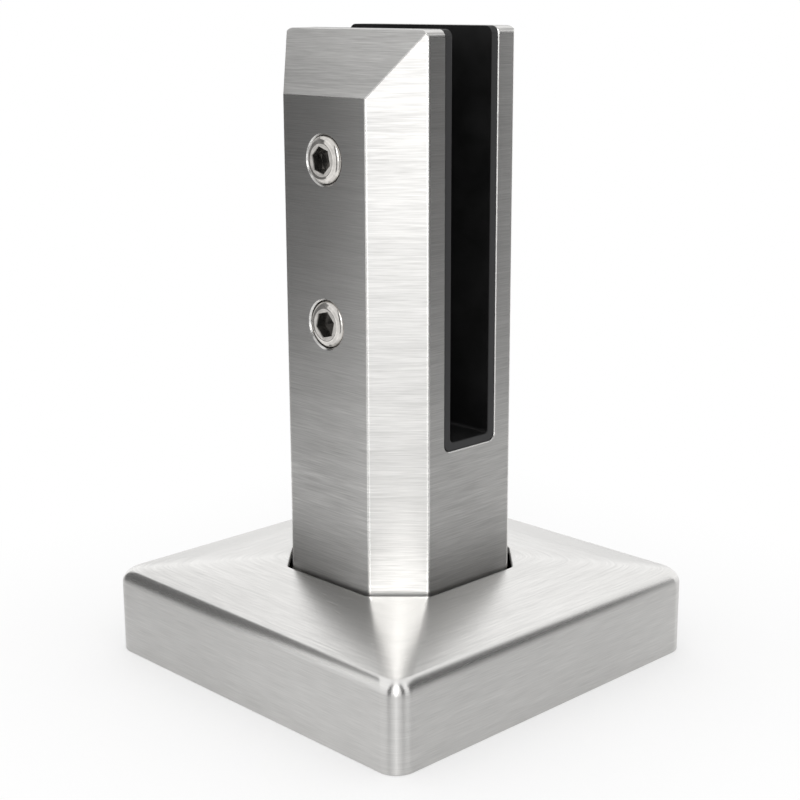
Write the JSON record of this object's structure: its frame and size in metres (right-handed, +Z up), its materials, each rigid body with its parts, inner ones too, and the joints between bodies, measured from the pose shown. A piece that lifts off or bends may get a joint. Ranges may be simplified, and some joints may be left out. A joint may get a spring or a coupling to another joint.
{
  "type": "glass railing spigot",
  "caption": "Square post with sloped jaws, a rubber-lined slot that clamps a glass panel by socket screws, and a square cover over its floor flange.",
  "frame": {"origin": "middle of the underside, where the flange and the cover stand on the floor", "axes": "+Z up along the post, -Y towards the side with the screws, X along the glass"},
  "size_m": [0.108, 0.108, 0.1631],
  "materials": {
    "post_steel": "brushed across the faces",
    "cover_steel": "brushed along the sides",
    "plate_steel": "plain mill finish",
    "screw_steel": "polished",
    "rubber": "matt black"
  },
  "bodies": {
    "spigot": {"post_casting": "post_steel", "glass_gasket": "rubber"},
    "cover": {"base_cover": "cover_steel"},
    "clamp": {"pressure_plate": "plate_steel"},
    "upper_screw": {"upper_clamp_screw": "screw_steel"},
    "lower_screw": {"lower_clamp_screw": "screw_steel"}
  },
  "joints": [
    {"name": "cover_lift", "type": "slide", "parent": "spigot", "child": "cover", "axis": [0, 0, 1], "range_m": [0, 0.165]},
    {"name": "plate_slide", "type": "slide", "parent": "spigot", "child": "clamp", "axis": [0, 1, 0], "range_m": [0, 0.0035], "deforming": ["glass_gasket"]},
    {"name": "upper_screw_turn", "type": "hinge", "parent": "clamp", "child": "upper_screw", "pos_m": [0, -0.025, 0.132], "axis": [0, 1, 0], "range_deg": [0, 720]},
    {"name": "lower_screw_turn", "type": "hinge", "parent": "clamp", "child": "lower_screw", "pos_m": [0, -0.025, 0.092], "axis": [0, 1, 0], "range_deg": [0, 720]}
  ],
  "couplings": [
    {"joint": "upper_screw_turn", "follows": "plate_slide", "rad_per_m": 3590.4},
    {"joint": "lower_screw_turn", "follows": "plate_slide", "rad_per_m": 3590.4}
  ]
}
